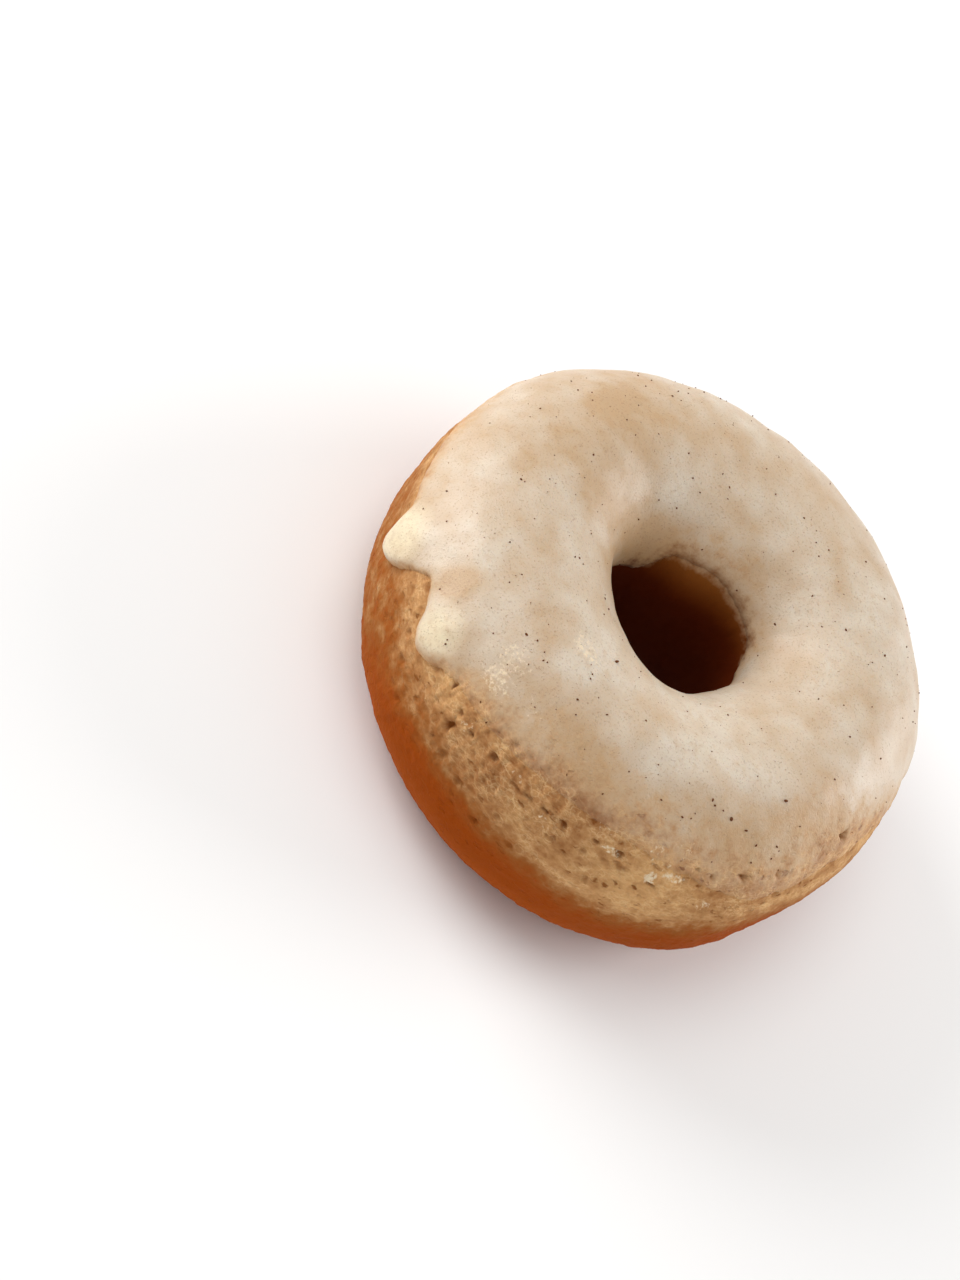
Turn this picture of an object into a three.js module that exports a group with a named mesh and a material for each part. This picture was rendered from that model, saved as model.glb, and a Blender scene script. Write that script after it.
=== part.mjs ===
// A baked ring doughnut with a thin cream icing, in millimetres, +Z up, lying on its flat base.
// The batter filled a ring mould: below its widest line the dough is smooth and browned by the
// tin, above it the dough rose freely into a pale crown. The icing was dipped on, so it covers
// the crown, reaches a little way into the hole and ends in an uneven edge with soft drips.
import * as THREE from 'three';
import { ImprovedNoise } from 'three/addons/math/ImprovedNoise.js';

// Cross-section of the ring of dough.
const RING_RADIUS = 26.6; // from the hole's axis to the middle of the ring
const WIDEST_HEIGHT = 19.0; // height of the widest line above the base
const OUTWARD = 15.4; // from the middle of the ring out to the widest line
const INWARD = 15.7; // from the middle of the ring in to the hole's narrowest line
const RISEN = 13.4; // from the widest line up to the top of the crown
const MOULDED = 19.6; // from the widest line down, a little past the flat base
const CROWN_POWER = 1.9; // 2 is an ellipse, less is more pointed
const MOULD_POWER = 3.0; // more than 2 is squarer, as the bottom of the tin is
const POST_POWER = 6.0; // squarer still where the batter stood against the tin's middle post

// How far the ring is from round, as shares of its radius, and the hole in millimetres.
const OVAL = -0.029;
const THREE_SIDED = -0.009;
const HOLE_OVAL = { cos: 0.8, sin: 0.8 };
const HOLE_THREE_SIDED = { cos: -0.9, sin: 0.75 };

// Relief of the dough.
const SWELL = { size: 11, height: 0.3 }; // broad swells of the whole ring
const PIT = { size: 4.2, depth: 1.5, start: 0.12 }; // open crumb round the side of the crown
const CRAG = { size: 2.7, depth: 0.7, start: 0.1 };
const CRUMB_BAND = { low: 14, high: 29, fade: 3 }; // heights that the open crumb lies between
const MOULD_LINE = { height: 17.5, wander: 1.6, size: 13, step: 0.55, width: 1.5 };
const FLAT_FADE = 2.5; // the relief dies away over this height above the base

// Icing: how low its edge comes outside the ring and in the hole, as [azimuth, height].
const EDGE_OUTSIDE = [
  [-172, 24.0], [-152, 23.4], [-130, 25.6], [-108, 24.8], [-85, 26.6], [-66, 28.4],
  [-38, 26.8], [-10, 27.4], [10, 24.2], [30, 21.5], [55, 20.0], [85, 22.5], [112, 20.6], [148, 22.8],
];
const EDGE_IN_HOLE = [[-150, 20.5], [-90, 22.5], [-30, 21.0], [38, 21.8], [105, 24.6], [152, 21.0]];
// Drips: where each hangs, half its width in degrees, how far it hangs below the edge, and how
// thick it is.
const DRIPS = [
  { azimuth: -141.8, half: 8.4, drop: 7.4, thick: 1.5 },
  { azimuth: -119.5, half: 9.8, drop: 3.9, thick: 1.3 },
  { azimuth: 28, half: 10, drop: 2.6, thick: 1.0 },
  { azimuth: 92, half: 8, drop: 4.2, thick: 1.2 },
  { azimuth: 128, half: 11, drop: 2.2, thick: 1.0 },
];
const DRIP_ROUND = 0.8; // 0.5 gives a drip a round outline, more a narrower tip
const COAT = 0.75; // thickness of the icing over the crown
const COAT_AT_EDGE = 0.3; // where it thins out over the crumb
const COAT_LIP = 0.12; // the rim itself
const LIP_ROUND = 2.2; // the icing reaches its thickness this far from its edge
const GAP = 0.35; // clearance between the icing and the dough

// Faceting.
const AROUND = 128;
const DOUGH_STEPS = 30;
const ICING_STEPS = 11;
const TRIAL_STEPS = 1440; // fine steps used to measure along the section

const TURN = 2 * Math.PI;
const noise = new ImprovedNoise();
const clamp = THREE.MathUtils.clamp;
const smoothstep = THREE.MathUtils.smoothstep;
const lerp = THREE.MathUtils.lerp;

/** How square the section is above or below its widest line, outside or in the hole. */
function powerOf(up, across) {
  if (up > 0) return CROWN_POWER;
  return across > 0 ? MOULD_POWER : POST_POWER;
}

/** The section's point at angle t: 0 is the widest line outside, a quarter turn the crown, half a
 *  turn the hole's narrowest line. Returns its distance from the hole's axis and its height. */
function sectionPoint(t) {
  const across = Math.cos(t);
  const up = Math.sin(t);
  const halfWidth = across > 0 ? OUTWARD : INWARD;
  const halfHeight = up > 0 ? RISEN : MOULDED;
  const power = powerOf(up, across);
  const sum = Math.abs(across / halfWidth) ** power + Math.abs(up / halfHeight) ** power;
  const reach = sum ** (-1 / power);
  return new THREE.Vector2(RING_RADIUS + reach * across, Math.max(WIDEST_HEIGHT + reach * up, 0));
}

/** The section's angle at a height above the widest line, outside the ring or in the hole. */
function angleAtHeight(height, outside) {
  const up = clamp((height - WIDEST_HEIGHT) / RISEN, -0.95, 0.95);
  const power = powerOf(up, outside ? 1 : -1);
  const share = (1 - Math.abs(up) ** power) ** (1 / power);
  const across = outside ? OUTWARD * share : -INWARD * share;
  return Math.atan2(height - WIDEST_HEIGHT, across);
}

/** The direction straight out of the dough, in the plane of the section. */
function sectionNormal(t) {
  const small = 0.01;
  const along = sectionPoint(t + small).sub(sectionPoint(t - small)).normalize();
  return new THREE.Vector2(along.y, -along.x);
}

/** Angles that divide the section into equal lengths, closer together where weight is large. */
function evenAngles(steps, weight) {
  const lengths = [0];
  for (let i = 1; i <= TRIAL_STEPS; i += 1) {
    const from = sectionPoint(((i - 1) / TRIAL_STEPS) * TURN);
    const to = sectionPoint((i / TRIAL_STEPS) * TURN);
    lengths.push(lengths[i - 1] + from.distanceTo(to) * weight(to));
  }
  const angles = [];
  let i = 0;
  for (let step = 0; step <= steps; step += 1) {
    const wanted = (step / steps) * lengths[TRIAL_STEPS];
    while (i < TRIAL_STEPS && lengths[i] < wanted) i += 1;
    angles.push((i / TRIAL_STEPS) * TURN);
  }
  return angles;
}

/** A value given at a few azimuths in degrees, eased from each to the next all the way round. */
function roundTheRing(stations, azimuth) {
  const degrees = THREE.MathUtils.radToDeg(azimuth);
  const count = stations.length;
  for (let i = 0; i < count; i += 1) {
    const [from, value] = stations[i];
    const [to, next] = stations[(i + 1) % count];
    const span = THREE.MathUtils.euclideanModulo(to - from, 360);
    const passed = THREE.MathUtils.euclideanModulo(degrees - from, 360);
    if (passed < span) return lerp(value, next, smoothstep(passed / span, 0, 1));
  }
  return stations[0][1];
}

/** How deep a drip's place is: 1 in its middle, 0 at its sides, with a round tip. */
function dripShare(drip, azimuth) {
  const away = THREE.MathUtils.euclideanModulo(
    THREE.MathUtils.radToDeg(azimuth) - drip.azimuth + 180, 360) - 180;
  const share = Math.abs(away) / drip.half;
  return share < 1 ? (1 - share * share) ** DRIP_ROUND : 0;
}

/** Noise of a given feature size at a point of the section, between -1 and 1. */
function noiseAt(azimuth, point, size, shift) {
  const x = point.x * Math.cos(azimuth);
  const y = point.x * Math.sin(azimuth);
  return noise.noise(x / size + shift, y / size, point.y / size);
}

/** Broad swells of the dough, which the icing follows, outwards in millimetres. */
function swell(azimuth, t) {
  const point = sectionPoint(t);
  return SWELL.height * noiseAt(azimuth, point, SWELL.size, 3.7) * smoothstep(point.y, 0, FLAT_FADE);
}

/** The mould's line and the open crumb round the outside, inwards in millimetres. */
function hollows(azimuth, t) {
  const point = sectionPoint(t);
  const at = (size, shift) => noiseAt(azimuth, point, size, shift);
  const outside = smoothstep(point.x, RING_RADIUS + 2, RING_RADIUS + OUTWARD / 2);

  const line = MOULD_LINE.height + MOULD_LINE.wander * at(MOULD_LINE.size, 11.3);
  const below = 1 - smoothstep(point.y, line - MOULD_LINE.width / 2, line + MOULD_LINE.width / 2);
  const step = MOULD_LINE.step * below * clamp(0.5 + at(MOULD_LINE.size, 29.1), 0, 1);

  const { low, high, fade } = CRUMB_BAND;
  const band = smoothstep(point.y, low, low + fade) * (1 - smoothstep(point.y, high - fade, high));
  const pits = PIT.depth * Math.max(at(PIT.size, 17.9) - PIT.start, 0);
  const crags = CRAG.depth * Math.max(at(CRAG.size, 41.2) - CRAG.start, 0);
  return outside * (step + band * (pits + crags)) * smoothstep(point.y, 0, FLAT_FADE);
}

/** A point of the doughnut, lifted off the bare section, with the ring and hole out of round. */
function ringPoint(azimuth, t, lift) {
  const moved = sectionPoint(t).addScaledVector(sectionNormal(t), lift);
  const outness = clamp((moved.x - (RING_RADIUS - INWARD)) / (OUTWARD + INWARD), 0, 1);
  const stretch = OVAL * Math.cos(2 * azimuth) + THREE_SIDED * Math.cos(3 * azimuth);
  const hole = HOLE_OVAL.cos * Math.cos(2 * azimuth) + HOLE_OVAL.sin * Math.sin(2 * azimuth)
    + HOLE_THREE_SIDED.cos * Math.cos(3 * azimuth) + HOLE_THREE_SIDED.sin * Math.sin(3 * azimuth);
  const radius = moved.x * (1 + stretch * outness) + hole * (1 - outness) ** 2;
  const height = Math.max(moved.y, 0);
  return new THREE.Vector3(radius * Math.cos(azimuth), radius * Math.sin(azimuth), height);
}

/** Turns a closed outline of so many points round +Z and puts each point where place says. */
function turnedRing(outlinePoints, place) {
  const outline = [];
  for (let j = 0; j <= outlinePoints; j += 1) {
    const t = (j / outlinePoints) * TURN;
    outline.push(new THREE.Vector2(RING_RADIUS + Math.cos(t), Math.sin(t)));
  }
  const geometry = new THREE.LatheGeometry(outline, AROUND);
  const position = geometry.getAttribute('position');
  for (let k = 0; k < position.count; k += 1) {
    const ray = Math.floor(k / outline.length) % AROUND;
    const point = place((ray / AROUND) * TURN - Math.PI, (k % outline.length) % outlinePoints);
    position.setXYZ(k, point.x, point.y, point.z);
  }
  geometry.computeVertexNormals();
  return geometry;
}

/** The ring of dough. */
function doughRing() {
  const crumbWeight = (point) => {
    const outside = point.x > RING_RADIUS && point.y > CRUMB_BAND.low - 2 && point.y < CRUMB_BAND.high;
    if (outside) return 1.7;
    return point.y < 0.01 ? 0.35 : 1;
  };
  const angles = evenAngles(DOUGH_STEPS, crumbWeight);
  return turnedRing(DOUGH_STEPS, (azimuth, j) => {
    const lift = swell(azimuth, angles[j]) - hollows(azimuth, angles[j]);
    return ringPoint(azimuth, angles[j], lift);
  });
}

/** The shell of icing: over the top from its outer edge into the hole, and back underneath. */
function icingShell() {
  const point = (azimuth, j) => {
    const underneath = j > ICING_STEPS;
    const share = (underneath ? 2 * ICING_STEPS + 1 - j : j) / ICING_STEPS;
    const hang = DRIPS.map((drip) => dripShare(drip, azimuth));
    const drop = Math.max(...DRIPS.map((drip, i) => drip.drop * hang[i]));
    const dripThick = Math.max(...DRIPS.map((drip, i) => drip.thick * hang[i]));
    const from = angleAtHeight(roundTheRing(EDGE_OUTSIDE, azimuth) - drop, true);
    const to = angleAtHeight(roundTheRing(EDGE_IN_HOLE, azimuth), false);
    const t = lerp(from, to, share ** 1.35);
    const bottom = swell(azimuth, t) + GAP;
    if (underneath) return ringPoint(azimuth, t, bottom);

    const fromEdge = Math.abs(t - from) * OUTWARD;
    const fromHole = Math.abs(to - t) * INWARD;
    const nearEdge = 1 - smoothstep(fromEdge, 0, 3 * LIP_ROUND);
    const full = lerp(COAT, Math.max(COAT_AT_EDGE, dripThick), nearEdge);
    const rounding = clamp(Math.min(fromEdge, fromHole) / LIP_ROUND, 0, 1);
    const thick = COAT_LIP + (full - COAT_LIP) * Math.sqrt(rounding * (2 - rounding));
    return ringPoint(azimuth, t, bottom + thick);
  };
  return turnedRing(2 * ICING_STEPS + 2, point);
}

/** A named piece with its own colour. */
function piece(name, geometry, colour, roughness) {
  const material = new THREE.MeshStandardMaterial({ color: colour, roughness, metalness: 0 });
  const mesh = new THREE.Mesh(geometry, material);
  mesh.name = name;
  return mesh;
}

const group = new THREE.Group();
group.add(piece('dough_ring', doughRing(), '#bd8a4c', 0.85));
group.add(piece('icing', icingShell(), '#e3d2b6', 0.45));

// The middle of the base is the origin.
const box = new THREE.Box3().setFromObject(group);
group.position.set(-(box.min.x + box.max.x) / 2, -(box.min.y + box.max.y) / 2, -box.min.z);

export default group;
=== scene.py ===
# %% [markdown]
# # A cinnamon doughnut
# A ring of batter was baked in a tin, turned out, and dipped in a thin cinnamon icing.
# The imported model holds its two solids, the dough and the icing. This lesson gives both their
# finish: browned sides, open crumb, an icing with soft drips, and flecks of cinnamon.

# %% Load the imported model
import math

import bpy
import numpy as np
from mathutils import Matrix, Vector
from mathutils.kdtree import KDTree


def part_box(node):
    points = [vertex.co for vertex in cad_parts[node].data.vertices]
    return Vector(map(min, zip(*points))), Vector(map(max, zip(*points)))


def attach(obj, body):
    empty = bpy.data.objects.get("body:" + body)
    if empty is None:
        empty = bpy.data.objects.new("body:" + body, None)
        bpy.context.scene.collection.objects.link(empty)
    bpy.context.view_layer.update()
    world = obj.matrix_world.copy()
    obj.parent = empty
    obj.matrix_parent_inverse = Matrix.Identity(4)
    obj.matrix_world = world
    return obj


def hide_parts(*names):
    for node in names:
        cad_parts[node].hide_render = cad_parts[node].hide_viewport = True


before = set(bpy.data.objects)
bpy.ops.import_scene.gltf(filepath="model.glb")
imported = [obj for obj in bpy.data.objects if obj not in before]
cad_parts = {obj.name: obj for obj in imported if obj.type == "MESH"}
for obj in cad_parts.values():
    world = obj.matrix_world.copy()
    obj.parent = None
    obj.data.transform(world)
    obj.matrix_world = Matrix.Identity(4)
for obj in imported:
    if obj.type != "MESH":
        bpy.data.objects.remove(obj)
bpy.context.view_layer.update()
MM = 0.001
print("nodes:", sorted(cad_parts))

# %% [markdown]
# ## The section
# Every part of a ring is the same section carried round an axis, so the section comes first. A
# superellipse describes it in a few numbers: one power for the risen crown, a larger, squarer one
# for the half that the tin shaped, and a still larger one along the tin's middle post. Angle 0 is
# the widest line outside, a quarter turn is the crown, and half a turn is the narrowest line of
# the hole. All of it is in millimetres.

# %% The section's sizes, as in the solid model
RING_RADIUS = 26.6
WIDEST_HEIGHT = 19.0
OUTWARD = 15.4
INWARD = 15.7
RISEN = 13.4
MOULDED = 19.6
CROWN_POWER = 1.9
MOULD_POWER = 3.0
POST_POWER = 6.0
OVAL = -0.029
THREE_SIDED = -0.009
HOLE_OVAL = (0.8, 0.8)
HOLE_THREE_SIDED = (-0.9, 0.75)
TURN = 2 * math.pi


def section(t):
    """Distance from the hole's axis and height of the section at angle t."""
    across, up = np.cos(t), np.sin(t)
    width = np.where(across > 0, OUTWARD, INWARD)
    height = np.where(up > 0, RISEN, MOULDED)
    power = np.where(up > 0, CROWN_POWER, np.where(across > 0, MOULD_POWER, POST_POWER))
    reach = (np.abs(across / width) ** power + np.abs(up / height) ** power) ** (-1 / power)
    return RING_RADIUS + reach * across, np.maximum(WIDEST_HEIGHT + reach * up, 0)


FINE_T = np.linspace(-math.pi, math.pi, 7201)
FINE_RHO, FINE_Z = section(FINE_T)
FINE_S = np.concatenate([[0], np.cumsum(np.hypot(np.diff(FINE_RHO), np.diff(FINE_Z)))])
FINE_S -= np.interp(0, FINE_T, FINE_S)
FINE_NX = np.gradient(FINE_Z)
FINE_NZ = -np.gradient(FINE_RHO)
FINE_LENGTH = np.hypot(FINE_NX, FINE_NZ)
print("the section measures", round(FINE_S[-1] - FINE_S[0], 1), "mm round")

# %% [markdown]
# ## Places on the ring
# A place is named by its azimuth and by how far it is along the section: 0 at the widest line,
# positive up over the crown, negative down the moulded side. The ring is a little oval, and its
# hole has soft corners, so one function turns a place and a height above the bare dough into a
# point. The mesh is closer together on the side that the picture is taken from.

# %% From a place to a point
FRONT = math.radians(-110)
CLOSER = 0.3


def outward_at(t):
    """Direction straight out of the section at angle t."""
    length = np.interp(t, FINE_T, FINE_LENGTH)
    return np.interp(t, FINE_T, FINE_NX) / length, np.interp(t, FINE_T, FINE_NZ) / length


def place(azimuth, t, lift):
    """Points of the ring, lifted off the bare section, with ring and hole out of round."""
    rho, z = section(t)
    nx, nz = outward_at(t)
    rho = rho + lift * nx
    z = np.maximum(z + lift * nz, 0)
    outness = np.clip((rho - (RING_RADIUS - INWARD)) / (OUTWARD + INWARD), 0, 1)
    stretch = OVAL * np.cos(2 * azimuth) + THREE_SIDED * np.cos(3 * azimuth)
    hole = HOLE_OVAL[0] * np.cos(2 * azimuth) + HOLE_OVAL[1] * np.sin(2 * azimuth)
    hole += HOLE_THREE_SIDED[0] * np.cos(3 * azimuth) + HOLE_THREE_SIDED[1] * np.sin(3 * azimuth)
    radius = rho * (1 + stretch * outness) + hole * (1 - outness) ** 2
    return np.stack([radius * np.cos(azimuth), radius * np.sin(azimuth), z], axis=1)


def smoothstep(x, low, high):
    """0 below low, 1 above high, eased between."""
    share = np.clip((x - low) / (high - low), 0, 1)
    return share * share * (3 - 2 * share)


def way_round(azimuth, degrees):
    """The turn from a place given in degrees, between half a turn back and half a turn on."""
    return np.mod(azimuth - math.radians(degrees) + math.pi, TURN) - math.pi


def round_the_ring(stations, azimuth):
    """A value given at a few azimuths in degrees, carried smoothly from each to the next."""
    at = np.array([a for a, _ in stations] + [stations[0][0] + 360], float)
    values = np.array([v for _, v in stations] + [stations[0][1]], float)
    step = np.diff(at)
    slope = np.diff(values) / step
    before = np.roll(slope, 1)
    # The curve is level at each highest and lowest station, so it never passes them.
    same_way = before * slope > 0
    level = np.where(same_way, 2 * before * slope / np.where(same_way, before + slope, 1), 0)
    level = np.append(level, level[0])
    degrees = np.mod(np.degrees(azimuth) - at[0], 360) + at[0]
    i = np.clip(np.searchsorted(at, degrees, side="right") - 1, 0, len(step) - 1)
    x = (degrees - at[i]) / step[i]
    ends = values[i] * (1 + 2 * x) * (1 - x) ** 2 + values[i + 1] * x * x * (3 - 2 * x)
    return ends + step[i] * (level[i] * x * (1 - x) ** 2 - level[i + 1] * x * x * (1 - x))


def along_at_height(z):
    """How far along the section the outside reaches a height."""
    outside = (FINE_RHO > RING_RADIUS) & (FINE_Z > 0.1)
    return np.interp(z, FINE_Z[outside], FINE_S[outside])


def along_in_hole(z):
    """How far along the section the hole's wall reaches a height, coming over the crown."""
    inside = (FINE_RHO < RING_RADIUS) & (FINE_T > 0)
    return np.interp(-np.asarray(z), -FINE_Z[inside], FINE_S[inside])


# The solid model is centred on its box, and the section on the hole: this is the step between.
probe = place(np.tile(np.linspace(0, TURN, 721), 181), np.repeat(np.linspace(-1, 1, 181), 721), 0.0)
cad_low, cad_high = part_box("dough_ring")
SHIFT = (np.array(cad_low + cad_high) / 2 / MM - (probe.min(0) + probe.max(0)) / 2) * (1, 1, 0)
print("shift to the solid model's origin in mm:", SHIFT.round(2))

# %% [markdown]
# ## Helpers
# One function adds a node to any tree, with its settings and what its sockets hold or are linked
# from. A Map Range is used often: its sockets are a value, the two values that it runs between,
# and what it gives at each of them, at first 0 and 1. Another function applies a tree of geometry
# nodes to a piece, as the Apply entry of a modifier does.

# %% Helpers for nodes, selection and attributes


def add(tree, kind, *values, **settings):
    """Adds one node. Its sockets get their values in order, or by name from a dict.

    A value is a number, a vector, or the node or socket that it comes from. For a shader node
    the kind is short: "Math" is ShaderNodeMath.
    """
    node = tree.nodes.new(kind if "Node" in kind else "ShaderNode" + kind)
    for name, value in settings.items():
        setattr(node, name, value)
    by_name = values and isinstance(values[0], dict)
    for name, value in values[0].items() if by_name else enumerate(values):
        if isinstance(value, bpy.types.Node):
            tree.links.new(next(o for o in value.outputs if o.enabled), node.inputs[name])
        elif isinstance(value, bpy.types.NodeSocket):
            tree.links.new(value, node.inputs[name])
        else:
            node.inputs[name].default_value = value
    return node


def select_only(piece):
    """Deselects everything else and makes the piece active."""
    bpy.ops.object.select_all(action="DESELECT")
    piece.select_set(True)
    bpy.context.view_layer.objects.active = piece


def geometry_tree(name):
    """An empty tree of geometry nodes, and its way in."""
    tree = bpy.data.node_groups.new(name, "GeometryNodeTree")
    tree.interface.new_socket("Geometry", in_out="INPUT", socket_type="NodeSocketGeometry")
    tree.interface.new_socket("Geometry", in_out="OUTPUT", socket_type="NodeSocketGeometry")
    return tree, add(tree, "NodeGroupInput")


def apply_tree(piece, tree):
    """Runs a tree of geometry nodes on a piece and keeps the result."""
    select_only(piece)
    modifier = piece.modifiers.new(tree.name, "NODES")
    modifier.node_group = tree
    bpy.ops.object.modifier_apply(modifier=modifier.name)


def set_attribute(piece, name, values):
    """Stores one number for each vertex."""
    attribute = piece.data.attributes.get(name) or piece.data.attributes.new(name, "FLOAT", "POINT")
    attribute.data.foreach_set("value", np.asarray(values, np.float32))


def get_attribute(piece, name):
    """Reads one number for each vertex."""
    values = np.zeros(len(piece.data.vertices), np.float32)
    piece.data.attributes[name].data.foreach_get("value", values)
    return values.astype(float)


def points_of(piece):
    """Where each vertex is, in metres."""
    co = np.zeros(len(piece.data.vertices) * 3, np.float32)
    piece.data.vertices.foreach_get("co", co)
    return co.reshape(-1, 3)


def move_points(piece, points):
    """Moves the vertices to points in millimetres, and from the hole's axis to the origin."""
    piece.data.vertices.foreach_set("co", ((points + SHIFT) * MM).astype(np.float32).ravel())
    piece.data.update()


# %% [markdown]
# ## A ring from a section
# A circle is added with as many points as the section needs, its points are put on the section,
# and a Screw modifier carries it once round the hole's axis. A torus would be quicker, but its
# rows are equally far apart, and here the crumb outside needs far finer rows than the base.

# %% Rows of points and the turn
COLUMNS = 760
LAYERS_APART = 100
GRAIN_START = 35
GRAIN_STRETCH = 1.7


def rows_between(stretches):
    """Distances along the section: each stretch is (from, to, step), all in millimetres."""
    rows = []
    for start, end, step in stretches:
        count = max(1, round((end - start) / step))
        rows.extend(start + (end - start) * i / count for i in range(count))
    return np.array(rows)


def turned_ring(name, rows, layer):
    """Turns a closed outline round +Z. Gives the piece, and where each vertex is on the ring."""
    bpy.ops.object.select_all(action="DESELECT")
    bpy.ops.mesh.primitive_circle_add(vertices=len(rows), radius=OUTWARD * MM)
    piece = bpy.context.object
    piece.name = piece.data.name = name
    t = np.interp(rows, FINE_S, FINE_T)
    rho, z = section(t)
    # The layers start far apart, so that no two of their points are merged.
    points = np.stack([rho, np.zeros(len(t)), z + LAYERS_APART * layer], axis=1) * MM
    piece.data.vertices.foreach_set("co", points.ravel())
    set_attribute(piece, "t", t)
    set_attribute(piece, "layer", layer)
    turn = piece.modifiers.new("turn", "SCREW")
    turn.axis = "Z"
    turn.steps = turn.render_steps = COLUMNS
    turn.use_merge_vertices = True
    turn.merge_threshold = 0.001 * MM
    bpy.ops.object.modifier_apply(modifier=turn.name)
    # Its columns are equally far apart: they are drawn closer together round the front.
    x, y, _ = points_of(piece).T
    even = np.arctan2(y, x).astype(float)
    azimuth = even - CLOSER * np.sin(even - FRONT)
    t = get_attribute(piece, "t")
    s = np.interp(t, FINE_T, FINE_S)
    store_along_ring(piece, azimuth, s)
    return piece, azimuth, t, s


def store_along_ring(piece, azimuth, s):
    """Stores how far along the ring and the section a point is, for grain that follows the ring.

    The ring is measured both ways from the side that the icing covers most, so it has no seam.
    """
    x = np.abs(way_round(azimuth, GRAIN_START)) * (RING_RADIUS + OUTWARD) / GRAIN_STRETCH
    places = np.stack([x, s, 0 * s], axis=1) * MM
    attribute = piece.data.attributes.new("along_ring", "FLOAT_VECTOR", "POINT")
    attribute.data.foreach_set("vector", places.astype(np.float32).ravel())


def face_out(piece):
    """Recalculates the normals so that every face points outwards, and smooths the shading."""
    select_only(piece)
    bpy.ops.object.mode_set(mode="EDIT")
    bpy.ops.mesh.select_all(action="SELECT")
    bpy.ops.mesh.normals_make_consistent(inside=False)
    bpy.ops.object.mode_set(mode="OBJECT")
    bpy.ops.object.shade_smooth()


# %% [markdown]
# ## The dough
# Where the batter touched the tin it is smooth and orange-brown; above that line it rose freely,
# stayed pale and tore open into pores. The broad form comes from the section. The crumb could be
# painted with bump alone, but its pores are up to three millimetres wide and show at the rim, so
# they are real hollows.

# %% Turn the dough
S_LOW, S_HIGH = FINE_S[0], FINE_S[-1]
dough_rows = rows_between([
    (S_LOW, S_LOW + 20, 1.1), (S_LOW + 20, -22, 1.6), (-22, -9, 0.8), (-9, 15.5, 0.36),
    (15.5, 40, 2.2), (40, S_HIGH, 1.0),
])
dough, dough_azimuth, dough_t, dough_s = turned_ring(
    "baked_dough", dough_rows, np.zeros(len(dough_rows)))
print(dough.name, len(dough.data.vertices), "points,", 2 * len(dough.data.polygons), "triangles")

# %% [markdown]
# ## Where the dough is brown and where it is open
# A few numbers are stored on each point: how brown the tin baked it, with a painted shadow
# added as a duller brown over part of the side, how open its crumb is, and how far down the
# hole's wall it lies. Both the relief and the colour read them, so a pore and its painted shade
# always fall in the same place. The brown edge climbs towards the right of the picture.

# %% How brown, how open and how far down the hole a place is
BROWN_TOP = [(-180, 15), (-150, 15), (-135, 16), (-119, 14.5), (-104, 15.8), (-91, 15.8),
             (-79, 15.8), (-60, 15.4), (-40, 18.0), (-25, 19.5), (20, 19.5), (80, 18), (130, 16)]
BROWN_FADE = 5.2
BROWN_SHARE = [(-180, 0.5), (-160, 0.45), (-145, 0.5), (-135, 0.55), (-119, 0.88), (-104, 1.0),
               (-82, 1.0), (-66, 0.92), (-40, 0.9), (0, 0.88), (100, 0.8)]
# Half baked and painted shadow: how much duller brown is painted above the crust, round the ring.
# It is partly toasted crumb and partly a painted shadow.
HALF_BAKED_AND_SHADOW = [(-175, 0.4), (-150, 0.42), (-135, 0.5), (-122, 0.5), (-104, 0.32), (-85, 0.16),
              (-60, 0.06), (0, 0.1), (120, 0.2)]
HALF_BAKED_AND_SHADOW_OVER = 9.0
# Painted bounce light: up to this height the outer crust is painted a lighter orange, as the white
# floor lights it from below.
BOUNCE_LIGHT_TOP, BOUNCE_LIGHT_FADE = 9.5, 4.0
OPEN_LOW, OPEN_FADE = 9.0, 8.0
OPEN_AROUND = [(-180, 0.3), (-130, 0.6), (-114, 1.0), (-60, 1.0), (-42, 0.45), (-20, 0.15),
               (60, 0.3)]
HOLE_TOP, HOLE_DEEP = 29.0, 18.0


def outside_share(t):
    """1 on the outer side of the ring, 0 on its crown, its base and in the hole."""
    rho, _ = section(t)
    return smoothstep(rho, RING_RADIUS + 2, RING_RADIUS + 8)


def hole_share(t):
    """How far down the hole's wall a place lies, where the wall is painted darkest: the tin's
    deeper brown and painted shade.
    """
    rho, z = section(t)
    inner = 1 - smoothstep(rho, RING_RADIUS - 9, RING_RADIUS - 4)
    return inner * smoothstep(-z, -HOLE_TOP, -HOLE_DEEP)


def open_share(azimuth, t):
    """How open the crumb is: not where the tin touched it, nor in the hole."""
    _, z = section(t)
    share = outside_share(t) * smoothstep(z, OPEN_LOW, OPEN_LOW + OPEN_FADE)
    return share * round_the_ring(OPEN_AROUND, azimuth)


def brown_share(azimuth, t):
    """How brown the dough is painted at a place: the tin's bake, and above it a duller brown that
    is partly toasting and partly painted shadow.
    """
    _, z = section(t)
    top = round_the_ring(BROWN_TOP, azimuth)
    crust = 1 - smoothstep(z, top - BROWN_FADE, top + BROWN_FADE)
    crust *= outside_share(t) * round_the_ring(BROWN_SHARE, azimuth)
    # Above the crust a duller brown is painted: partly toasted crumb, partly a painted shadow on
    # that side of the ring.
    half_baked_and_shadow = outside_share(t) * (1 - smoothstep(z, top + 1, top + HALF_BAKED_AND_SHADOW_OVER))
    half_baked_and_shadow *= round_the_ring(HALF_BAKED_AND_SHADOW, azimuth)
    # The base's brown ends 6 mm up in the hole, and 2 mm up outside, where the side has its own.
    base = 1 - smoothstep(z, 0.5, 6 - 4 * outside_share(t))
    off_wall = 1 - smoothstep(hole_share(t), 0.85, 1)
    return np.maximum(np.maximum(crust, base) * off_wall, half_baked_and_shadow)


# %% [markdown]
# ## The icing's edge
# A dipped icing is a thin coat with a rounded rim. Two drips hang on the side that the picture
# shows, three lower ones on the far side, and towards the front it thins to nothing over the open
# crumb. The edge is a curve round the ring, and each point's distance from the nearest place on
# that curve shapes everything else. Height above the edge alone would be simpler, but the steep
# sides of the drips would come out too thin.

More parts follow.
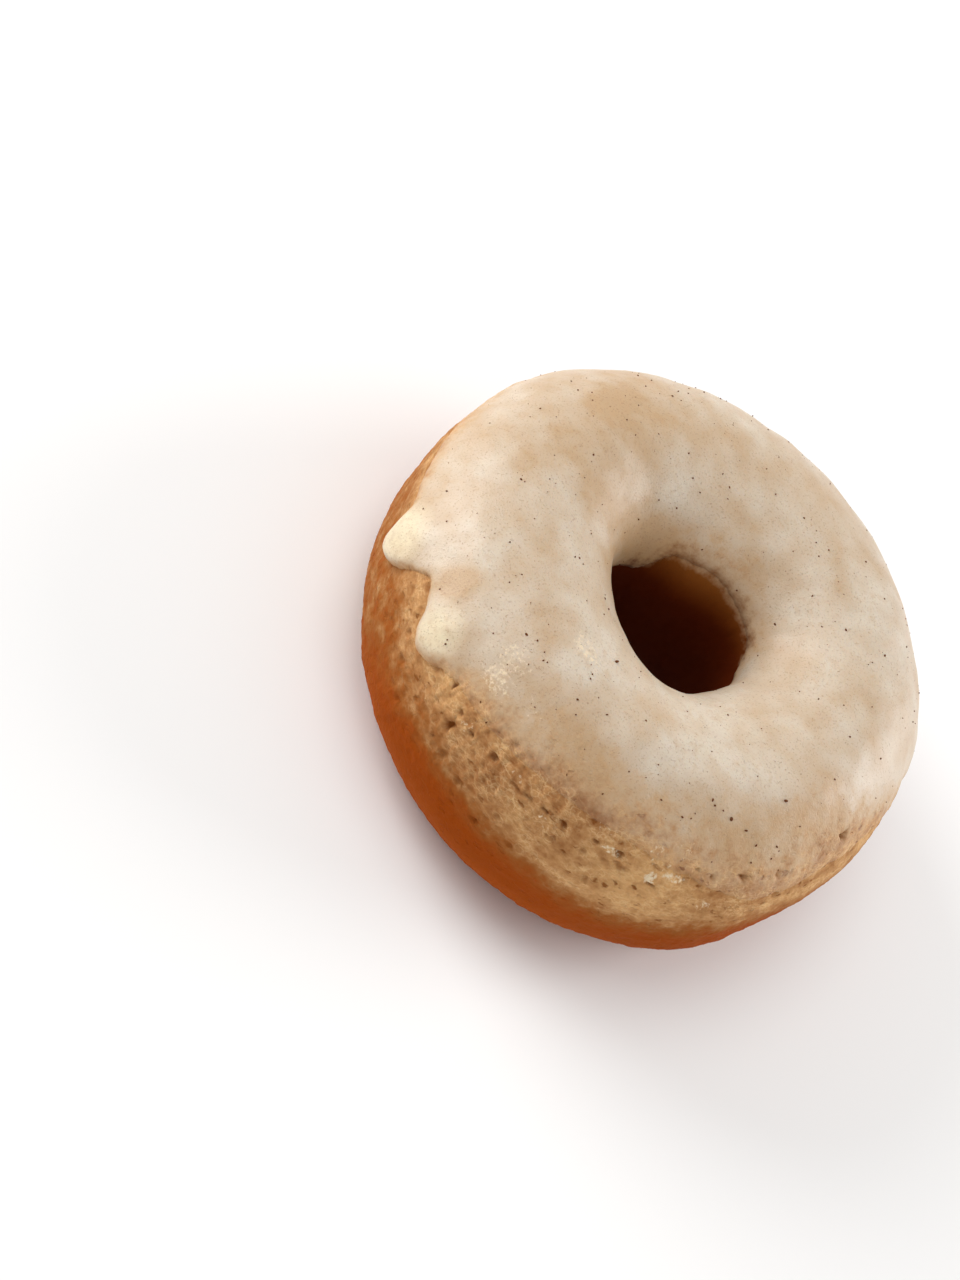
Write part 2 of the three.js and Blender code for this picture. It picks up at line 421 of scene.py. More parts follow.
# %% How far inside the icing's edge a point lies
EDGE_OUTSIDE = [(-172, 22.0), (-153, 21.6), (-149, 21.4), (-146.8, 19.2), (-145.3, 16.7),
                (-143.2, 16.0), (-140.4, 16.8), (-137, 19.4), (-133.8, 22.8), (-131, 24.6),
                (-128.2, 24.2), (-125.3, 23.5), (-122.5, 21.8), (-119.6, 21.1), (-116.4, 21.8),
                (-113, 23.7), (-108, 24.7), (-97, 25.6), (-83, 26.8), (-69, 27.2), (-52, 26.0),
                (-32, 23.9), (-12, 25.4), (6, 24.6), (20, 21.6), (28, 20.2), (37, 21.6), (55, 20.4),
                (72, 22.2), (84, 21.8), (92, 18.6), (100, 21.4), (112, 20.6), (124, 18.8),
                (134, 20.4), (150, 22.0)]
EDGE_IN_HOLE = [(-150, 18.0), (-90, 21.0), (-30, 19.5), (30, 18.8), (50, 22.0), (70, 23.4),
                (100, 25.0), (130, 24.2), (155, 18.5), (180, 16.5)]
EDGE_RADIUS = RING_RADIUS + OUTWARD

edge_at = np.linspace(-1.1 * math.pi, 1.1 * math.pi, 4401)
edge_along = along_at_height(round_the_ring(EDGE_OUTSIDE, edge_at))
edge_tree = KDTree(len(edge_at))
for i, (azimuth, height) in enumerate(zip(edge_at, edge_along)):
    edge_tree.insert((azimuth * EDGE_RADIUS, height, 0), i)
edge_tree.balance()


def inside_edge(azimuth, s):
    """How far a place lies inside the icing's outer edge, in mm on the flattened surface."""
    above = s - along_at_height(round_the_ring(EDGE_OUTSIDE, azimuth))
    flat = np.mod(azimuth + math.pi, TURN) - math.pi
    far = np.array([edge_tree.find((a * EDGE_RADIUS, b, 0))[2] for a, b in zip(flat, s)])
    return np.sign(above) * far


def inside_hole_edge(azimuth, s):
    """How far a place lies above the icing's edge in the hole."""
    return along_in_hole(round_the_ring(EDGE_IN_HOLE, azimuth)) - s


# %% [markdown]
# ## The icing's coat
# Thickness follows from that distance: a round rim, thick in the drips and hardly there over the
# crumb, then the even coat of the crown. Outside the edge the coat dives into the dough, so the
# visible edge is where the two surfaces really cross, ragged where the crumb is rough. How much
# the glaze covers is stored too, since a thin glaze soaks in and takes the colour of the crumb.

# %% Thickness of the coat
COAT, COAT_FULL = 0.85, (5.0, 14.0)
RIM_THICK = [(-175, 0.6), (-152, 0.8), (-130, 0.8), (-110, 0.45), (-98, 0.28), (-40, 0.26),
             (-5, 0.3), (20, 0.5), (90, 0.7), (150, 0.6)]
RIM_ROUND = [(-175, 1.6), (-130, 1.5), (-110, 2.5), (-98, 5.0), (-40, 6.0), (-5, 5.0), (20, 2.5),
             (90, 2.0), (150, 1.8)]
SOAKED = [(-175, 5.0), (-155, 4.0), (-143, 1.2), (-128, 1.0), (-113, 3.5), (-100, 10), (-82, 12),
          (-60, 13), (-45, 17), (-30, 19), (-10, 16), (10, 8.0), (35, 3.0), (90, 2.0), (150, 2.5)]
# The thick beads of the drips: azimuth, height, reach and thickness.
BEADS = [(-142.5, 19.8, 7.5, 1.75), (-119.5, 24.4, 6.5, 1.5), (28, 22.5, 6.0, 1.1),
         (92, 21.0, 6.5, 1.4), (124, 21.2, 6.0, 1.2)]
HOLE_ROUND = 8.0
HOLE_SOAKED = [(-150, 4.0), (-60, 3.0), (25, 4.0), (60, 6.5), (110, 8.5), (150, 8.0)]
SINK, SINK_STEEP = 2.0, 1.1


def glaze_share(azimuth, inside, from_hole):
    """How much of the surface's colour is the glaze's own."""
    outer = smoothstep(inside / round_the_ring(SOAKED, azimuth), -0.15, 1.0)
    return outer * smoothstep(from_hole / round_the_ring(HOLE_SOAKED, azimuth), -0.3, 1.0)


def coat_thickness(azimuth, s, inside, from_hole):
    """Thickness of the icing over the dough, negative where it is inside the dough."""
    rim_thick = round_the_ring(RIM_THICK, azimuth)
    for bead_azimuth, height, reach, thick in BEADS:
        turn = way_round(azimuth, bead_azimuth)
        away = np.hypot(turn * EDGE_RADIUS, s - along_at_height(height))
        near = np.clip(1 - (away / reach) ** 2, 0, 1) ** 1.5
        rim_thick = rim_thick + (thick - rim_thick) * near
    full = rim_thick + (COAT - rim_thick) * smoothstep(inside, *COAT_FULL)
    rim = np.clip(inside / round_the_ring(RIM_ROUND, azimuth), 0, 1)
    in_hole = np.clip(from_hole / HOLE_ROUND, 0, 1)
    coat = full * np.sqrt(rim * (2 - rim)) * np.sqrt(in_hole * (2 - in_hole))
    outside = np.minimum(np.minimum(inside, from_hole), 0)
    return coat + np.maximum(outside * SINK_STEEP, -SINK)


# %% [markdown]
# ## Tones and sugar
# The icing and the crumb are painted paler or darker in soft patches: partly where the icing
# dried thick, or was wiped thin or ran off, and partly painted light and painted shade, as in the
# crease between the drips. In a few places the icing dried to white flakes of sugar on the crumb.
# Each of these has a place in the picture, which noise can't know, so they are placed one by one,
# with soft edges.

# %% Where the icing is paler or darker
# Patches of partly real tone and partly painted light and shade: azimuth, along, reach, and how
# much paler, or darker where it is negative.
TONES = [
    (155, 18, 9, -0.30), (145, 30, 4, 0.30), (155, 39, 6, -0.30), (-178, 31, 5, -0.20),
    (-60, 36, 9, 0.25), (-51, 22, 6, 0.25), (10, 38, 7, 0.08), (50, 26, 9, 0.15),
    (-132, 15, 5, 0.05), (-129, 9.5, 2.5, -0.45), (-58, 3, 7, 0.55), (-44, 13, 7, -0.30),
    (-95, 4, 6, -0.38), (-78, 10, 5, -0.35), (-102, 24, 4, 0.30), (-90, 14, 5, -0.20),
    (-15, 15, 6, -0.35),
]
# Flakes of sugar and glaze on the crumb: azimuth, along, half width, half height, how solid.
SUGAR = [
    (-58.7, 6.0, 1.0, 1.2, 0.75), (-54.5, 7.1, 2.4, 0.7, 0.65), (-67.9, 6.9, 1.8, 0.8, 0.6),
    (-45.6, 4.1, 1.5, 1.0, 0.55), (-60.4, 9.8, 2.0, 1.4, 0.42), (-71.0, 9.3, 2.2, 1.6, 0.38),
    (-55.3, 11.1, 2.4, 1.8, 0.38), (-58.5, 8.5, 2.4, 1.2, 0.40), (-106.5, 10.6, 3.2, 2.4, 0.56),
    (-108.7, 13.6, 3.4, 2.2, 0.52), (-98.1, 12.7, 2.5, 1.6, 0.36), (-102.4, 4.7, 1.2, 1.4, 0.40),
    (-104.4, 22.9, 3.2, 2.2, 0.55), (-89.4, 6.3, 2.4, 1.2, 0.36), (-82.1, 4.3, 2.6, 1.4, 0.40),
]


def sugar_share(azimuth, s):
    """How much dry sugar lies at a place. Its flakes are ragged, which the colour adds."""
    rho, _ = section(np.interp(s, FINE_S, FINE_T))
    most = np.zeros(len(s))
    for flake_azimuth, along, wide, tall, solid in SUGAR:
        away = np.hypot(way_round(azimuth, flake_azimuth) * rho / wide, (s - along) / tall)
        most = np.maximum(most, solid * (1 - smoothstep(away, 0.4, 1.5)))
    return most


def tone_and_painted_light(azimuth, s):
    """How much paler the icing and crumb are painted at a place, negative where darker: partly real
    tone, partly painted light and shade.
    """
    rho, _ = section(np.interp(s, FINE_S, FINE_T))
    tone = np.zeros(len(s))
    for patch_azimuth, along, reach, paler in TONES:
        middle, _ = section(np.interp(along, FINE_S, FINE_T))
        turn = way_round(azimuth, patch_azimuth)
        away = np.hypot(turn * (rho + middle) / 2, s - along)
        tone += paler * np.exp(-(away / reach) ** 2)
    return tone


# %% [markdown]
# ## Torn pits
# The largest pores are where a bubble burst at the surface, or where the crumb tore as the dough
# was turned out. They are few and all different, so each is placed on its own: a ragged oval
# hollow with a slightly raised rim. Random cells would not put them where the picture has them.

# %% Place the torn pits
PIT_RAGGED, PIT_WALL = 0.35, (0.35, 1.15)
PIT_RIDGE = {"height": 0.14, "place": 1.5, "width": 0.3}
# The torn pits of the picture: azimuth, height, width, height of the opening and depth.
PITS = [
    (-104.3, 21.1, 1.4, 2.4, 0.8), (-101, 17.5, 1.6, 3.0, 0.4), (-95.6, 17.3, 1.7, 1.1, 0.6),
    (-88.8, 14.9, 1.5, 1.1, 0.6), (-94.5, 14.6, 0.8, 0.7, 0.3), (-109.7, 24.1, 0.9, 1.5, 0.5),
    (-104.9, 23.4, 1.3, 1.0, 0.45), (-100.6, 23.2, 1.2, 0.8, 0.45), (-94.9, 24.1, 1.5, 0.8, 0.5),
    (-90.8, 21.8, 1.0, 1.6, 0.3), (-93.1, 21.2, 1.0, 1.4, 0.3), (-88.6, 23.8, 2.6, 0.5, 0.35),
    (-85.6, 24.2, 2.6, 0.5, 0.35), (-81.9, 24.6, 1.8, 0.5, 0.5), (-77.9, 24.8, 1.5, 1.1, 0.7),
    (-77.5, 22.7, 1.0, 0.9, 0.4), (-71.3, 25.4, 1.4, 0.6, 0.6), (-71.8, 23.7, 1.7, 0.8, 0.35),
    (-86.7, 19.1, 1.2, 0.8, 0.4), (-119.6, 17.2, 1.6, 1.3, 0.3), (-114.1, 13.7, 1.8, 0.8, 0.4),
    (-109, 21.1, 1.6, 0.5, 0.3), (-122.9, 20.2, 1.2, 1.0, 0.3), (-81.3, 16.6, 1.4, 0.7, 0.4),
    (-104.6, 17.6, 0.8, 1.2, 0.35), (-66, 25.6, 1.9, 0.7, 0.6), (-64.4, 24.3, 2.6, 1.0, 0.45),
    (-68.1, 20.5, 1.3, 0.9, 0.4), (-57.6, 23.9, 2.2, 0.7, 0.5), (-52.3, 25.8, 1.0, 0.9, 0.45),
    (-39.7, 27.0, 2.4, 1.1, 0.4), (-30.8, 26.9, 1.0, 1.0, 0.3), (-29.5, 24.2, 1.4, 0.8, 0.4),
    (-59.2, 26.2, 1.4, 0.9, 0.4), (-58.4, 21.9, 0.8, 0.5, 0.3), (-50.6, 27.1, 1.0, 0.6, 0.3),
    (-46.7, 26.7, 1.0, 0.8, 0.3), (-10.9, 28.3, 1.9, 1.6, 0.5),
]


def pit_depth(azimuth, s):
    """How deep the torn pits reach at a place, in millimetres."""
    deepest = np.zeros(len(s))
    ridge = np.zeros(len(s))
    for pit_azimuth, height, wide, tall, depth in PITS:
        x = way_round(azimuth, pit_azimuth) * EDGE_RADIUS
        y = s - along_at_height(height)
        ragged = 1 + PIT_RAGGED * np.sin(2.9 * x + pit_azimuth) * np.cos(3.7 * y - pit_azimuth)
        away = np.hypot(x / (wide / 2), y / (tall / 2)) * ragged
        deepest = np.maximum(deepest, depth * (1 - smoothstep(away, *PIT_WALL)))
        off_ridge = (away - PIT_RIDGE["place"]) / PIT_RIDGE["width"]
        ridge = np.maximum(ridge, PIT_RIDGE["height"] * np.exp(-off_ridge ** 2))
    return deepest - ridge


# %% [markdown]
# ## The same numbers on both pieces
# The dough and the icing store the same finish from the same functions, and both are moved by the
# same relief later, so a thin glaze follows the crumb under it instead of cutting through it.

# %% Store the finish
THIN_GLAZE = (0.02, 0.4)
SKIN_UNDER_ICING = 0.12
PITS_FROM, BASE_FADE = (9, 12), 2.5
GLAZE_OFF_PIT, COAT_OFF_PIT = (0.08, 0.3), 1.6


def store_finish(piece, azimuth, t):
    """Stores what the relief and the colours read. Gives the coat's thickness and the pits."""
    s = np.interp(t, FINE_T, FINE_S)
    _, z = section(t)
    inside, from_hole = inside_edge(azimuth, s), inside_hole_edge(azimuth, s)
    glaze = glaze_share(azimuth, inside, from_hole)
    coat = coat_thickness(azimuth, s, inside, from_hole)
    # A pit that tore open under the thin glaze wasn't filled by it, so both stop at its rim.
    pits = pit_depth(azimuth, s) * smoothstep(z, *PITS_FROM)
    glaze = glaze * (1 - smoothstep(pits, *GLAZE_OFF_PIT))
    coat = coat - COAT_OFF_PIT * np.clip(pits, 0, None)
    bare = 1 - smoothstep(glaze, *THIN_GLAZE)
    off_base = smoothstep(z, 0, BASE_FADE)
    for name, values in (
            ("glaze", glaze), ("coat", coat), ("tone", tone_and_painted_light(azimuth, s)),
            ("sugar", sugar_share(azimuth, s)), ("hole", hole_share(t)),
            ("open", open_share(azimuth, t) * bare), ("free", off_base),
            ("skin", off_base * np.maximum(SKIN_UNDER_ICING, bare))):
        set_attribute(piece, name, values)
    return coat, pits


_, dough_pits = store_finish(dough, dough_azimuth, dough_t)
# The stored brown holds the painted shadow too, and the dough's material paints it as gold.
set_attribute(dough, "brown", brown_share(dough_azimuth, dough_t))
# The stored rim is painted light: the low outer crust, which the floor lights from below.
bounce_light_low = 1 - smoothstep(section(dough_t)[1], BOUNCE_LIGHT_TOP - BOUNCE_LIGHT_FADE, BOUNCE_LIGHT_TOP)
set_attribute(dough, "rim", outside_share(dough_t) * bounce_light_low)
open_now = get_attribute(dough, "open") > 0.5
print("open crumb on", round(100 * float(open_now.mean())), "% of the points")

# %% [markdown]
# ## Pores
# Pores are random cells, each with its own width, so a Voronoi texture gives them: a point close
# to a cell's centre is pushed in. The position is stirred by noise first, so that the pores are
# ragged, and three sizes are laid over each other. The walls between the smallest bubbles make
# the fine web of the crumb.

# %% Push the pores in
# Three sizes of pore: cell, how rare, greatest width as a share of the cell, and depth.
PORES = [(3.0, 0.62, 0.30, 0.40), (1.8, 0.50, 0.36, 0.30), (1.1, 0.45, 0.42, 0.20)]
WIDEST_FROM, PORE_FLOOR, NO_PORE = 0.85, 0.45, 0.02
PORE_STIR = {"size": 1.3, "reach": 1.3}
WEB = {"cell": 1.2, "height": 0.12}
SWELL = {"size": 9.0, "height": 0.5}
CRUMB = {"size": 1.2, "height": 0.14}
SKIN = {"size": 1.3, "height": 0.20}


def relief(tree):
    """Adds nodes for how far to lift a point and how deep its pore is, in metres, and the web."""
    position = add(tree, "GeometryNodeInputPosition")
    is_open, is_free, is_skin = (
        add(tree, "GeometryNodeInputNamedAttribute", {"Name": name}, data_type="FLOAT")
        for name in ("open", "free", "skin"))
    along_ring = add(tree, "GeometryNodeInputNamedAttribute", {"Name": "along_ring"},
                     data_type="FLOAT_VECTOR")
    stir = add(tree, "TexNoise",
               {"Vector": along_ring, "Scale": 1 / (PORE_STIR["size"] * MM), "Detail": 2.0})
    centred = add(tree, "VectorMath", stir.outputs["Color"], (0.5, 0.5, 0.5), operation="SUBTRACT")
    stirred = add(tree, "VectorMath", centred, (PORE_STIR["reach"] * MM,) * 3, along_ring,
                  operation="MULTIPLY_ADD")
    depth = None
    for cell, rarest, widest, deepest in PORES:
        cells = add(tree, "TexVoronoi", {"Vector": stirred, "Scale": 1 / (cell * MM)})
        width = add(tree, "MapRange", cells.outputs["Color"], rarest, WIDEST_FROM, 0.0, widest)
        inner = add(tree, "Math", width, PORE_FLOOR, operation="MULTIPLY")
        hollow = add(tree, "MapRange", cells.outputs["Distance"], inner, width, deepest * MM, 0.0,
                     interpolation_type="SMOOTHSTEP")
        # A cell too small to have a pore has no width, and the range would otherwise be empty.
        there = add(tree, "Math", width, NO_PORE, operation="GREATER_THAN")
        deep = add(tree, "Math", hollow, there, operation="MULTIPLY")
        depth = deep if depth is None else add(tree, "Math", depth, deep, operation="MAXIMUM")
    depth = add(tree, "Math", depth, is_open, operation="MULTIPLY")
    bubbles = add(tree, "TexVoronoi", {"Vector": stirred, "Scale": 1 / (WEB["cell"] * MM)},
                  feature="DISTANCE_TO_EDGE")
    wall = add(tree, "MapRange", bubbles, 0.0, 0.25, 0.5, -0.5)
    web = add(tree, "Math", wall, is_open, operation="MULTIPLY")
    total = add(tree, "Math", depth, -1.0, operation="MULTIPLY")
    total = add(tree, "Math", web, WEB["height"] * MM, total, operation="MULTIPLY_ADD")
    for bump, keep in ((SWELL, is_free), (CRUMB, is_open), (SKIN, is_skin)):
        lumps = add(tree, "TexNoise",
                    {"Vector": position, "Scale": 1 / (bump["size"] * MM), "Detail": 2.0})
        lift = add(tree, "Math", lumps, 0.5, operation="SUBTRACT")
        kept = add(tree, "Math", lift, keep, operation="MULTIPLY")
        total = add(tree, "Math", kept, 2 * bump["height"] * MM, total, operation="MULTIPLY_ADD")
    return total, depth, wall


def push(piece, tree_name):
    """Moves a piece's points along their normals by the relief. Stores the pores and the web."""
    tree, way_in = geometry_tree(tree_name)
    total, depth, wall = relief(tree)
    in_mm = add(tree, "Math", depth, MM, operation="DIVIDE")
    shape = way_in.outputs[0]
    for name, value in (("pore", in_mm), ("web", wall)):
        shape = add(tree, "GeometryNodeStoreNamedAttribute", {"Geometry": shape, "Name": name,
                    "Value": value}, data_type="FLOAT", domain="POINT")
    normal = add(tree, "GeometryNodeInputNormal")
    offset = add(tree, "VectorMath", {0: normal, "Scale": total}, operation="SCALE")
    moved = add(tree, "GeometryNodeSetPosition", {"Geometry": shape, "Offset": offset})
    add(tree, "NodeGroupOutput", moved)
    apply_tree(piece, tree)


# Where the dough swelled out at the tin's lip: azimuth, height, how far round it, and how much.
FOOT = {"azimuth": -38, "height": 12.5, "reach": 7.0, "lift": 0.9}
round_foot = way_round(dough_azimuth, FOOT["azimuth"]) * EDGE_RADIUS
from_foot = np.hypot(round_foot, dough_s - along_at_height(FOOT["height"]))
foot = FOOT["lift"] * np.exp(-(from_foot / FOOT["reach"]) ** 2)
move_points(dough, place(dough_azimuth, dough_t, foot - dough_pits))
face_out(dough)
push(dough, "pores_and_crumb")
pore_depth = np.maximum(get_attribute(dough, "pore"), dough_pits)
set_attribute(dough, "pore", pore_depth)
print("deepest pore", round(float(pore_depth.max()), 2), "mm,",
      round(100 * float((pore_depth > 0.2).mean())), "% of the points are in pores")

# %% [markdown]
# ## The icing
# The icing is a second ring. Its rows go over the top and come back underneath, inside the dough,
# so that it is a closed solid. A Solidify modifier would give one thickness everywhere, but this
# coat runs from nothing to a thick drip. The same pores are then pushed into it.

# %% Turn the icing: a top that follows the coat, and a bottom hidden in the dough
ICING_LOW, ICING_HIGH = -6.5, 45.5
UNDER = 2.6
top_rows = rows_between([(ICING_LOW, 15, 0.37), (15, ICING_HIGH, 0.6)])
under_rows = np.linspace(ICING_HIGH, ICING_LOW, 9)[:-1]
icing_rows = np.concatenate([top_rows, under_rows])
icing_layer = np.concatenate([np.ones(len(top_rows)), np.zeros(len(under_rows))])
icing, icing_azimuth, icing_t, icing_s = turned_ring("cinnamon_icing", icing_rows, icing_layer)
on_top = get_attribute(icing, "layer") > 0.5
coat, _ = store_finish(icing, icing_azimuth, icing_t)
coat = np.where(on_top, coat, -UNDER)
move_points(icing, place(icing_azimuth, icing_t, coat))
face_out(icing)
push(icing, "icing_over_crumb")
print(icing.name, len(icing.data.vertices), "points, thickest", round(float(coat.max()), 2), "mm")

# %% [markdown]
# ## Colours
# Colours are read off a screen, as hex values, and turned into the linear ones that light works
# in. Food scatters light under its surface, which softens its shadows, so both materials have a
# little subsurface scattering. Crumb and glaze are mixed in one function that both materials use,
# so where the glaze thins out over the crumb there is no line between the two pieces.

# %% Colours of the dough and the icing


def to_linear(code):
    """A linear colour from an sRGB hex code."""
    parts = [int(code[i:i + 2], 16) / 255 for i in (1, 3, 5)]
    return tuple(p / 12.92 if p <= 0.04045 else ((p + 0.055) / 1.055) ** 2.4
                 for p in parts) + (1.0,)


def new_material(name, piece):
    """Gives a piece one new material, and returns its empty tree."""
    material = bpy.data.materials.new(name)
    material.use_nodes = True
    material.node_tree.nodes.clear()
    piece.data.materials.clear()
    piece.data.materials.append(material)
    return material.node_tree


CRUMB_PALE = to_linear("#cb9d69")
CRUMB_TAN = to_linear("#98663c")
# Painted highlight on the crumb's walls, and painted shade in its pores and tears.
CRUMB_PAINTED_HIGHLIGHT = to_linear("#e0bb8b")
PORE_PAINTED_SHADE = to_linear("#7c4519")
CRUST_GOLD = to_linear("#955927")
CRUST_BROWN = to_linear("#944104")
# Painted bounce light from the floor, on the lowest crust.
CRUST_BOUNCE_LIGHT = to_linear("#a04a0c")
# The hole's wall: tan near the top, and deeper down the tin's brown with painted shade.
HOLE_TAN = to_linear("#925a20")
HOLE_BROWN_AND_SHADE = to_linear("#5c2003")
ICING_TAN = to_linear("#ba9b77")
ICING_CREAM = to_linear("#cfc1ae")
ICING_THICK = to_linear("#dacaab")
SUGAR_WHITE = to_linear("#e3d0b2")
DUST = to_linear("#8a6446")
GLAZE_SOAKED = to_linear("#be986c")

# %% [markdown]
# ## Crumb and glaze
# Torn crumb is a foam: thin walls round bubbles. Its finest bubbles are painted: a painted
# highlight on the walls, and painted shade in the dark middles, the tears and the pores. Noise
# alone would look like felt, so cells draw the walls and the tears, and noise only makes some
# places paler. The glaze is laid over it, mottled where it dried unevenly, and stained where it
# soaked in.

# %% Crumb and glaze, for both pieces
# Sizes of the patterns in millimetres. The real crumb's finest bubbles are about 0.3 mm: these are
# coarser, so that they aren't lost between the pixels of a picture of the whole doughnut.
FINE_CELL, TEAR_CELL = 0.7, 0.95
FINE_STIR, STIR_SIZE = 1.3, 0.9
GRAIN_SIZE, PATCH_SIZE, BROAD_SIZE = 0.5, 2.2, 7.0
MOTTLE_SIZE, BLOTCH_SIZE, DUST_SIZE = 6.0, 1.5, 0.3
NOISE_ROUGH, DUST_ROUGH = 0.6, 0.7
BUMP_OF_CRUMB, BUMP_OF_DUST = 0.12, 0.06
UNEVEN_GLAZE, RAGGED_SUGAR = 3.5, 1.6


def crumb_colour(tree, position, tone_at):
    """Adds bare crumb with its pores and the hole's wall, with painted shade in the pores and tears
    and a painted highlight on the bubbles' walls. Gives its colour and its height.
    """
    web_at, pore_at, hole_at = (
        add(tree, "Attribute", attribute_name=name).outputs["Fac"]
        for name in ("web", "pore", "hole"))
    along_ring = add(tree, "Attribute", attribute_name="along_ring").outputs["Vector"]
    grain, patches, broad, stir = (
        add(tree, "TexNoise", {"Vector": where, "Scale": 1 / (size * MM),
                               "Detail": detail, "Roughness": NOISE_ROUGH})
        for where, size, detail in ((position, GRAIN_SIZE, 3.0), (along_ring, PATCH_SIZE, 4.0),
                                    (position, BROAD_SIZE, 2.0), (along_ring, STIR_SIZE, 2.0)))
    # The finest bubbles are drawn with painted light: a painted highlight on the thin walls, and
    # painted shade in the middle of the deeper ones.
    stirred = add(tree, "VectorMath", stir.outputs["Color"], (FINE_STIR * MM,) * 3, along_ring,
                  operation="MULTIPLY_ADD")
    fine = add(tree, "TexVoronoi", {"Vector": stirred, "Scale": 1 / (FINE_CELL * MM)},
               feature="DISTANCE_TO_EDGE")
    tears = add(tree, "TexVoronoi", {"Vector": stirred, "Scale": 1 / (TEAR_CELL * MM)})
    reach = add(tree, "MapRange", tears.outputs["Color"], 0.28, 0.9, 0.0, 0.48)
    in_tear = add(tree, "Math", reach, tears.outputs["Distance"], operation="SUBTRACT")
    # Each row turns a value into a share: two values, and how much is drawn at each.
    fine_wall, tear, walls, some, among, pore_shade, on_wall = (
        add(tree, "MapRange", value, first, second, at_first, at_second)
        for value, first, second, at_first, at_second in (
            (fine, 0.0, 0.14, 1.0, 0.0), (in_tear, 0.0, 0.2, 0.0, 1.0),
            (web_at, -0.5, 0.5, 0.0, 1.0), (patches, 0.42, 0.66, 0.0, 0.65),
            (patches, 0.58, 0.44, 0.0, 0.85), (pore_at, 0.15, 0.7, 0.0, 1.0),
            (hole_at, 0.0, 0.25, 0.0, 1.0)))
    height = grain
    for part, weight in ((walls, 0.5), (tear, -1.0)):
        height = add(tree, "Math", part, weight, height, operation="MULTIPLY_ADD")
    mixed = patches
    # The web's walls are painted paler as a painted highlight, and the tones carry painted light
    # and shade.
    for part, weight in ((walls, 0.16), (grain, 0.35), (broad, 0.5), (tone_at, 0.5)):
        mixed = add(tree, "Math", part, weight, mixed, operation="MULTIPLY_ADD")
    pale = add(tree, "MapRange", mixed, 0.72, 1.3)
    wall_highlight = add(tree, "Math", fine_wall, some, operation="MULTIPLY")
    tear_shade = add(tree, "Math", tear, among, operation="MULTIPLY")
    # Down the hole the wall goes from tan to dark brown: partly the tin's bake, partly painted
    # shade.
    wall = add(tree, "Mix", {0: hole_at, 6: HOLE_TAN, 7: HOLE_BROWN_AND_SHADE}, data_type="RGBA")
    # Painted light: a highlight on the fine walls, and shade in the tears and the pores.
    colour = CRUMB_TAN
    for share, paint in ((pale, CRUMB_PALE), (wall_highlight, CRUMB_PAINTED_HIGHLIGHT), (tear_shade, PORE_PAINTED_SHADE),
                         (pore_shade, PORE_PAINTED_SHADE), (on_wall, wall)):
        colour = add(tree, "Mix", {0: share, 6: colour, 7: paint}, data_type="RGBA")
    off_wall = add(tree, "Math", 1.0, on_wall, operation="SUBTRACT")
    height = add(tree, "Math", height, off_wall, operation="MULTIPLY")
    return colour, height


def glazed_colour(tree, position):
    """Adds the icing over the crumb. Gives its colour, how much it covers, and its bump."""
    tone_at, coat_at, glaze_at, sugar_at = (
        add(tree, "Attribute", attribute_name=name).outputs["Fac"]
        for name in ("tone", "coat", "glaze", "sugar"))
    crumb, crumb_height = crumb_colour(tree, position, tone_at)
    mottle, blotch, dust, ragged = (
        add(tree, "TexNoise", {"Vector": position, "Scale": 1 / (size * MM),
                               "Detail": detail, "Roughness": rough})
        for size, detail, rough in (
            (MOTTLE_SIZE, 5.0, NOISE_ROUGH), (BLOTCH_SIZE, 3.0, NOISE_ROUGH),
            (DUST_SIZE, 2.0, DUST_ROUGH), (GRAIN_SIZE, 3.0, NOISE_ROUGH)))
    toned = add(tree, "Math", mottle, tone_at, operation="ADD")
    # Each row lays a colour over the ones before it: from where, to where, and how much at most.
    colour = ICING_TAN
    for value, start, full, most, paint in (
            (toned, 0.28, 0.68, 1.0, ICING_CREAM), (coat_at, 0.95, 1.5, 1.0, ICING_THICK),
            (blotch, 0.48, 0.72, 0.45, ICING_TAN), (dust, 0.56, 0.72, 0.5, DUST)):
        share = add(tree, "MapRange", value, start, full, 0.0, most)
        colour = add(tree, "Mix", {0: share, 6: colour, 7: paint}, data_type="RGBA")
    # The icing's own mottling decides where it covers, but only where it covers in part.
    uneven = add(tree, "Math", mottle, blotch, operation="ADD")
    patchy = add(tree, "Math", uneven, -1.0, operation="ADD")
    left = add(tree, "Math", 1.0, glaze_at, operation="SUBTRACT")
    partly = add(tree, "Math", left, glaze_at, operation="MULTIPLY")
    patchy = add(tree, "Math", patchy, partly, operation="MULTIPLY")
    covering = add(tree, "Math", patchy, UNEVEN_GLAZE, glaze_at, operation="MULTIPLY_ADD")
    covered = add(tree, "MapRange", covering, 0.06, 0.92)
    half = add(tree, "MapRange", covered, 0.0, 0.5)
    soaked = add(tree, "Mix", {0: half, 6: crumb, 7: GLAZE_SOAKED}, data_type="RGBA")
    colour = add(tree, "Mix", {0: covered, 6: soaked, 7: colour}, data_type="RGBA")
    flaked = add(tree, "Math", ragged, RAGGED_SUGAR, sugar_at, operation="MULTIPLY_ADD")
    flaked = add(tree, "MapRange", flaked, 1.3, 1.6, 0.0, 0.9)
    colour = add(tree, "Mix", {0: flaked, 6: colour, 7: SUGAR_WHITE}, data_type="RGBA")
    bare = add(tree, "MapRange", covered, 0.0, 1.0, 1.0, 0.0)
    bump = add(tree, "Bump", {"Height": dust, "Distance": BUMP_OF_DUST * MM, "Strength": 0.8})
    bump = add(tree, "Bump", {"Height": crumb_height, "Distance": BUMP_OF_CRUMB * MM,
                              "Strength": bare, "Normal": bump})
    return colour, covered, bump


